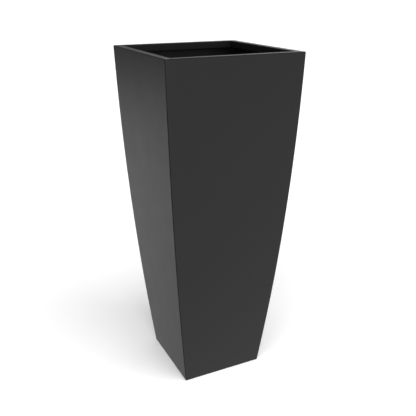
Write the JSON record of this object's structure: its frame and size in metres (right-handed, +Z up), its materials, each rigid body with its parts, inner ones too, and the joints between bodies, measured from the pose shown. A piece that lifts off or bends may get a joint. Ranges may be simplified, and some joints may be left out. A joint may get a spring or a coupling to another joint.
{
  "type": "tapered steel planter",
  "caption": "Tall square floor planter in folded and welded steel sheet, tapering in a gentle bow to a narrower foot, with a turned-in rim, a drained base tray and a lift-out shelf.",
  "frame": {"origin": "centre of the foot, on the floor", "axes": "+Z up, +X to the right and +Y to the back, each square to a wall"},
  "size_m": [0.4068, 0.4068, 1],
  "materials": {
    "powder_coat": "satin black powder coat with a fine texture",
    "galvanised_sheet": "dull galvanised sheet with a faint spangle"
  },
  "bodies": {
    "shell": {"front_panel": "powder_coat", "right_panel": "powder_coat", "back_panel": "powder_coat", "left_panel": "powder_coat", "corner_weld_front_left": "powder_coat", "corner_weld_front_right": "powder_coat", "corner_weld_back_right": "powder_coat", "corner_weld_back_left": "powder_coat", "rim_welds": "powder_coat", "base_tray": "powder_coat", "tray_welds": "powder_coat", "shelf_cleat_front": "powder_coat", "shelf_cleat_right": "powder_coat", "shelf_cleat_back": "powder_coat", "shelf_cleat_left": "powder_coat", "cleat_welds": "powder_coat"},
    "shelf": {"shelf": "galvanised_sheet"}
  },
  "joints": [
    {"name": "shelf_lift", "type": "slide", "parent": "shell", "child": "shelf", "axis": [0, 0, 1], "range_m": [0, 0.56]}
  ]
}
